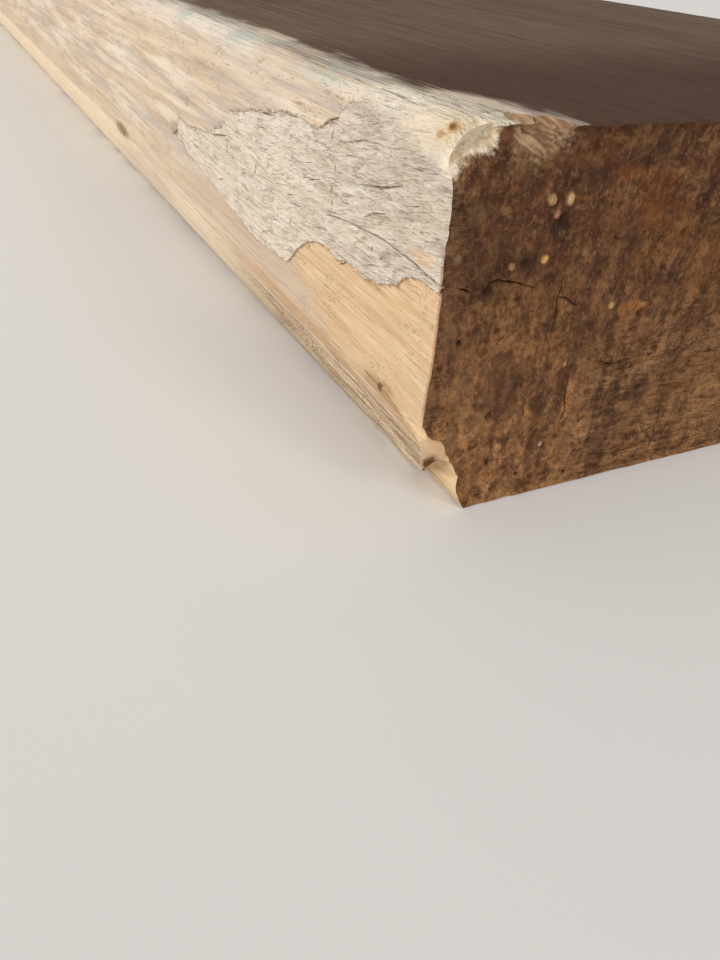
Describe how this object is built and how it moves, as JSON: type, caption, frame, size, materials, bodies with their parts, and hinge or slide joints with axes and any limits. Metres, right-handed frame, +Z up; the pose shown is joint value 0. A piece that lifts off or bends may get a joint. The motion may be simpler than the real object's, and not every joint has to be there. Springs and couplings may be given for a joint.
{
  "type": "lumber board",
  "caption": "Weathered softwood board with eased edges, a wane and a lifting splinter at one sawn end, for framing, decking or stacking.",
  "frame": {"origin": "middle of the underside, halfway along the length and the width", "axes": "+Y along the length and the grain, from the weathered near end to the far end; +X across the width; +Z up through the thickness"},
  "size_m": [0.14, 2.438, 0.038],
  "materials": {
    "weathered_softwood": "bare sawn softwood, weathered grey over tan, with dark brown end grain"
  },
  "bodies": {
    "root": {"board": "weathered_softwood"}
  },
  "joints": []
}
